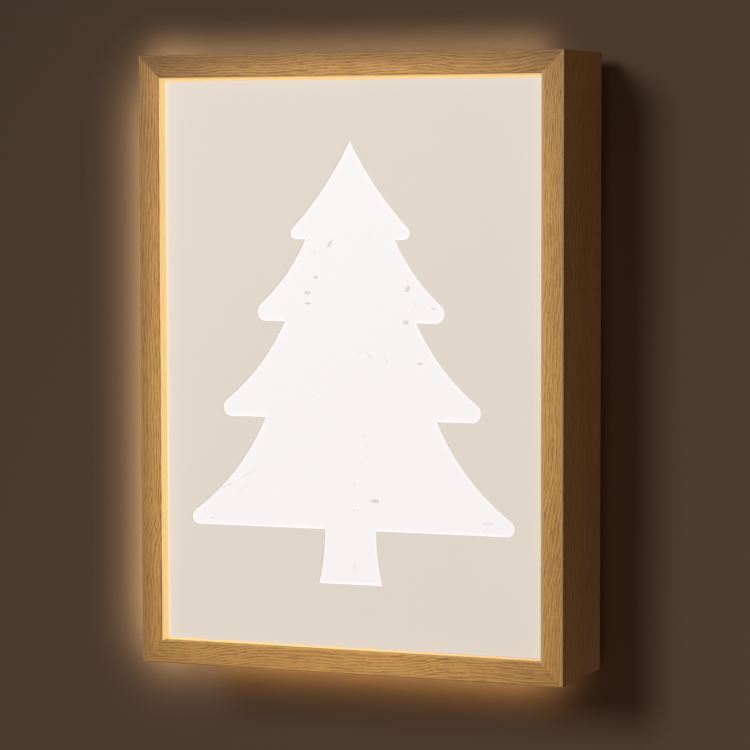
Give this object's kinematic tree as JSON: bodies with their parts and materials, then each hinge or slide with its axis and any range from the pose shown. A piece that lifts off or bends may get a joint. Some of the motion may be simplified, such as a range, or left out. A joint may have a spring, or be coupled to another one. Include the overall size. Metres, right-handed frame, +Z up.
{
  "type": "wall lamp",
  "caption": "Oak light box that hangs on a wall cleat, with a glowing margin round a fir-tree picture and a glow on the wall behind it.",
  "frame": {"origin": "middle of the wall cleat's rear face, where the wall holds the lamp", "axes": "+X to the right seen from the room, +Y into the wall, +Z up; the picture faces -Y"},
  "size_m": [0.237, 0.078, 0.3286],
  "materials": {
    "oak": "oiled oak, satin",
    "softwood": "planed pine, bare",
    "plywood": "birch plywood, bare",
    "picture_card": "matt card",
    "white_paper": "flecked paper, matt",
    "opal_sheet": "opal acrylic, satin",
    "white_sheet": "white lacquer, satin",
    "light_bar": "white solder mask",
    "light_source": "yellow phosphor, gloss",
    "driver_case": "moulded, fine grain",
    "clear_nylon": "natural nylon",
    "zinc_screw": "bright zinc",
    "brass": "drawn, satin",
    "black_rubber": "matt",
    "felt": "pressed felt",
    "black_plastic": "moulded, satin",
    "nickel": "nickel plate",
    "flat_lead": "white flat lead, satin",
    "wire_sleeve": "coloured wire sleeve"
  },
  "bodies": {
    "wall_cleat": {"wall_cleat": "softwood"},
    "lamp": {"top_board": "oak", "bottom_board": "oak", "side_board_left": "oak", "side_board_right": "oak", "corner_block_top_left": "softwood", "corner_block_top_right": "softwood", "corner_block_bottom_left": "softwood", "corner_block_bottom_right": "softwood", "hanging_rail": "softwood", "bottom_batten": "softwood", "side_batten_left": "softwood", "side_batten_right": "softwood", "back_panel": "plywood", "art_panel": "picture_card", "tree_paper": "white_paper", "opal_diffuser": "opal_sheet", "led_plate": "white_sheet", "led_bar_1": "light_bar", "led_bar_2": "light_bar", "led_bar_3": "light_bar", "led_bar_4": "light_bar", "glow_strip_top": "light_bar", "glow_strip_bottom": "light_bar", "glow_strip_left": "light_bar", "glow_strip_right": "light_bar", "led_chips": "light_source", "glow_chips": "light_source", "led_driver": "driver_case", "terminal_block": "clear_nylon", "plate_screws": "zinc_screw", "driver_screws": "zinc_screw", "rail_screws": "zinc_screw", "turn_button_screws": "zinc_screw", "cable_grommet": "black_rubber", "felt_bumper_left": "felt", "felt_bumper_right": "felt", "switch_housing": "black_plastic", "switch_nut": "nickel", "led_lead": "flat_lead", "glow_leads": "flat_lead", "glow_links": "flat_lead", "bar_links": "flat_lead", "driver_wires": "wire_sleeve", "switch_wires": "wire_sleeve"},
    "push_button": {"switch_button": "black_plastic"},
    "left_turn_button": {"turn_button_left": "brass"},
    "right_turn_button": {"turn_button_right": "brass"}
  },
  "joints": [
    {"name": "lamp_lift", "type": "slide", "parent": "wall_cleat", "child": "lamp", "axis": [0, 0, 1], "range_m": [0, 0.012]},
    {"name": "switch_press", "type": "slide", "parent": "lamp", "child": "push_button", "axis": [0, 0, 1], "range_m": [0, 0.0022], "stiffness_N_per_m": 500, "springref_m": -0.001},
    {"name": "turn_button_left_turn", "type": "hinge", "parent": "lamp", "child": "left_turn_button", "pos_m": [-0.0955, -0.0131, -0.24255], "axis": [0, 1, 0], "continuous": true},
    {"name": "turn_button_right_turn", "type": "hinge", "parent": "lamp", "child": "right_turn_button", "pos_m": [0.0955, -0.0131, -0.24255], "axis": [0, 1, 0], "continuous": true}
  ]
}
